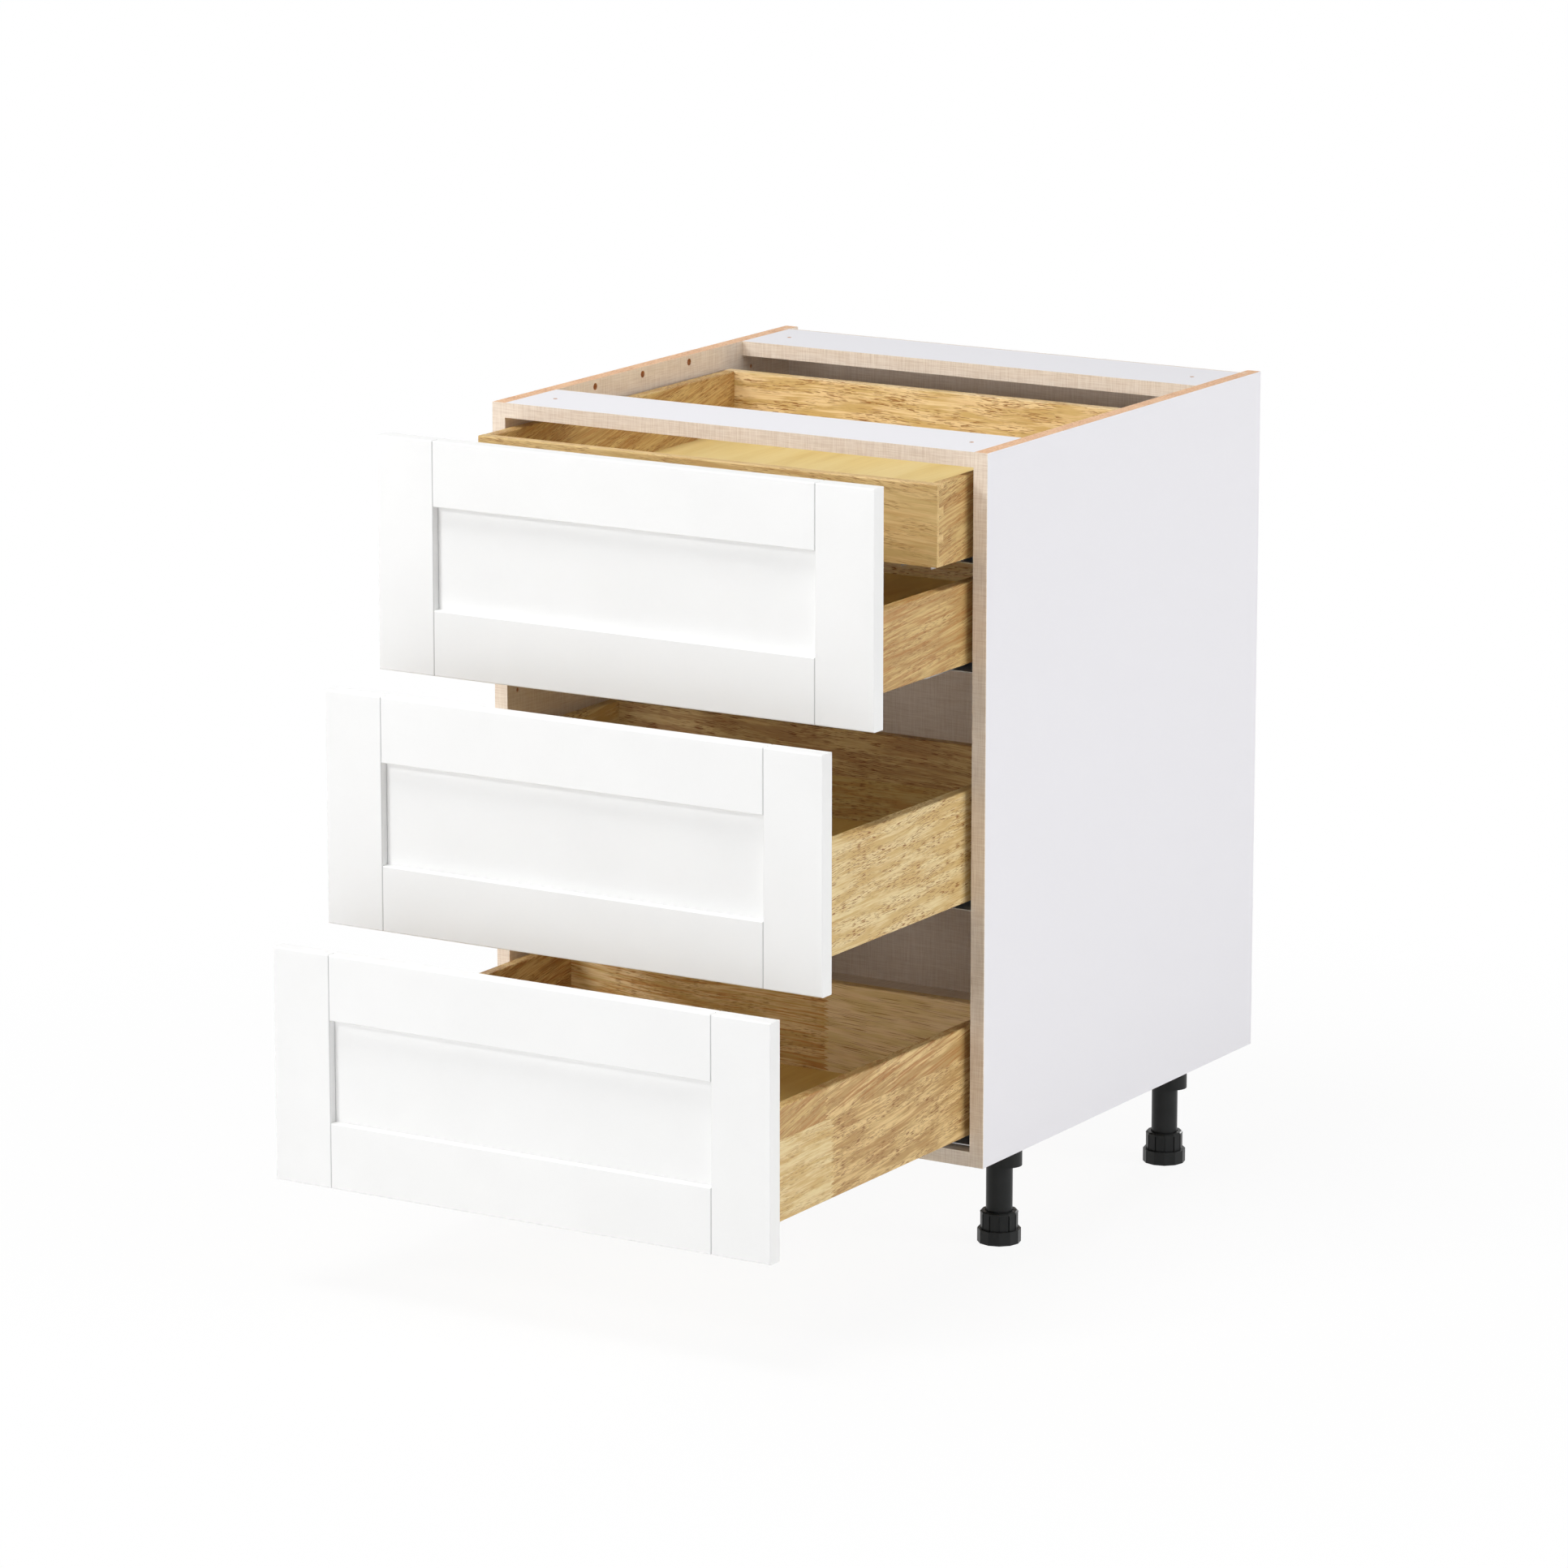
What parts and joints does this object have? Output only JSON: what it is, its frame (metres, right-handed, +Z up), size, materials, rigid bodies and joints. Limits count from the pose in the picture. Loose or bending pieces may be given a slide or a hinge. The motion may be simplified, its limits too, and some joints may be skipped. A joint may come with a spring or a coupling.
{
  "type": "drawer base cabinet",
  "caption": "Kitchen base cabinet with shaker-front drawers on full-extension undermount runners, a hidden inner drawer and adjustable plastic legs.",
  "frame": {"origin": "on the floor, midway across the cabinet, and midway between its rear edges and the lowest drawer's front face as the drawers stand open", "axes": "+X to the cabinet's right as seen from the front, +Y from the drawer fronts to the wall, +Z up"},
  "size_m": [0.61, 1.025, 0.876],
  "materials": {
    "faced_board": "beige linen-pattern melamine on chipboard",
    "outer_board": "white melamine on chipboard, beige linen pattern on the inner face",
    "edge_band": "beige linen-pattern edging",
    "back_board": "beige melamine on thin fibreboard",
    "dowel_wood": "bare beech",
    "front_paint": "satin white lacquer",
    "drawer_wood": "oiled rubberwood, finger-jointed",
    "drawer_ply": "clear-lacquered birch plywood",
    "runner_steel": "bright zinc plate",
    "runner_plastic": "dark grey moulded plastic",
    "leg_plastic": "black moulded plastic with a faint sheen"
  },
  "bodies": {
    "carcass": {"left_side_panel": "outer_board", "right_side_panel": "outer_board", "bottom_panel": "faced_board", "back_panel": "back_board", "front_rail": "faced_board", "rear_rail": "faced_board", "edge_bands": "edge_band", "dowels": "dowel_wood", "leg_sockets": "leg_plastic", "leg_tubes": "leg_plastic", "drawer1_cabinet_runners": "runner_steel", "drawer2_cabinet_runners": "runner_steel", "drawer3_cabinet_runners": "runner_steel", "inner_cabinet_runners": "runner_steel"},
    "front_left_foot": {"front_left_foot": "leg_plastic"},
    "front_right_foot": {"front_right_foot": "leg_plastic"},
    "rear_left_foot": {"rear_left_foot": "leg_plastic"},
    "rear_right_foot": {"rear_right_foot": "leg_plastic"},
    "drawer1": {"drawer1_front_stiles": "front_paint", "drawer1_front_rails": "front_paint", "drawer1_front_panel": "front_paint", "drawer1_box_sides": "drawer_wood", "drawer1_box_front": "drawer_wood", "drawer1_box_back": "drawer_wood", "drawer1_box_bottom": "drawer_ply", "drawer1_box_runners": "runner_steel", "drawer1_locking_clips": "runner_plastic"},
    "drawer1_runner_middle": {"drawer1_middle_runners": "runner_steel", "drawer1_runner_carriages": "runner_plastic"},
    "drawer2": {"drawer2_front_stiles": "front_paint", "drawer2_front_rails": "front_paint", "drawer2_front_panel": "front_paint", "drawer2_box_sides": "drawer_wood", "drawer2_box_front": "drawer_wood", "drawer2_box_back": "drawer_wood", "drawer2_box_bottom": "drawer_ply", "drawer2_box_runners": "runner_steel", "drawer2_locking_clips": "runner_plastic"},
    "drawer2_runner_middle": {"drawer2_middle_runners": "runner_steel", "drawer2_runner_carriages": "runner_plastic"},
    "drawer3": {"drawer3_front_stiles": "front_paint", "drawer3_front_rails": "front_paint", "drawer3_front_panel": "front_paint", "drawer3_box_sides": "drawer_wood", "drawer3_box_front": "drawer_wood", "drawer3_box_back": "drawer_wood", "drawer3_box_bottom": "drawer_ply", "drawer3_box_runners": "runner_steel", "drawer3_locking_clips": "runner_plastic"},
    "drawer3_runner_middle": {"drawer3_middle_runners": "runner_steel", "drawer3_runner_carriages": "runner_plastic"},
    "inner_drawer": {"inner_box_sides": "drawer_wood", "inner_box_front": "drawer_wood", "inner_box_back": "drawer_wood", "inner_box_bottom": "drawer_ply", "inner_box_runners": "runner_steel", "inner_locking_clips": "runner_plastic"},
    "inner_runner_middle": {"inner_middle_runners": "runner_steel", "inner_runner_carriages": "runner_plastic"}
  },
  "joints": [
    {"name": "drawer1_slide", "type": "slide", "parent": "carcass", "child": "drawer1", "axis": [0, -1, 0], "range_m": [-0.2, 0.295]},
    {"name": "drawer1_runner_middle_slide", "type": "slide", "parent": "carcass", "child": "drawer1_runner_middle", "axis": [0, -1, 0], "range_m": [-0.1, 0.1475]},
    {"name": "drawer2_slide", "type": "slide", "parent": "carcass", "child": "drawer2", "axis": [0, -1, 0], "range_m": [-0.3, 0.195]},
    {"name": "drawer2_runner_middle_slide", "type": "slide", "parent": "carcass", "child": "drawer2_runner_middle", "axis": [0, -1, 0], "range_m": [-0.15, 0.0975]},
    {"name": "drawer3_slide", "type": "slide", "parent": "carcass", "child": "drawer3", "axis": [0, -1, 0], "range_m": [-0.4, 0.095]},
    {"name": "drawer3_runner_middle_slide", "type": "slide", "parent": "carcass", "child": "drawer3_runner_middle", "axis": [0, -1, 0], "range_m": [-0.2, 0.0475]},
    {"name": "inner_drawer_slide", "type": "slide", "parent": "carcass", "child": "inner_drawer", "axis": [0, -1, 0], "range_m": [-0.074, 0.421]},
    {"name": "inner_runner_middle_slide", "type": "slide", "parent": "carcass", "child": "inner_runner_middle", "axis": [0, -1, 0], "range_m": [-0.037, 0.2105]},
    {"name": "front_left_foot_height", "type": "slide", "parent": "carcass", "child": "front_left_foot", "axis": [0, 0, -1], "range_m": [-0.012, 0.022]},
    {"name": "front_right_foot_height", "type": "slide", "parent": "carcass", "child": "front_right_foot", "axis": [0, 0, -1], "range_m": [-0.012, 0.022]},
    {"name": "rear_left_foot_height", "type": "slide", "parent": "carcass", "child": "rear_left_foot", "axis": [0, 0, -1], "range_m": [-0.012, 0.022]},
    {"name": "rear_right_foot_height", "type": "slide", "parent": "carcass", "child": "rear_right_foot", "axis": [0, 0, -1], "range_m": [-0.012, 0.022]}
  ],
  "couplings": [
    {"joint": "drawer1_runner_middle_slide", "follows": "drawer1_slide", "ratio": 0.5},
    {"joint": "drawer2_runner_middle_slide", "follows": "drawer2_slide", "ratio": 0.5},
    {"joint": "drawer3_runner_middle_slide", "follows": "drawer3_slide", "ratio": 0.5},
    {"joint": "inner_drawer_slide", "follows": "drawer1_slide", "ratio": 0.37},
    {"joint": "inner_runner_middle_slide", "follows": "drawer1_slide", "ratio": 0.185}
  ]
}
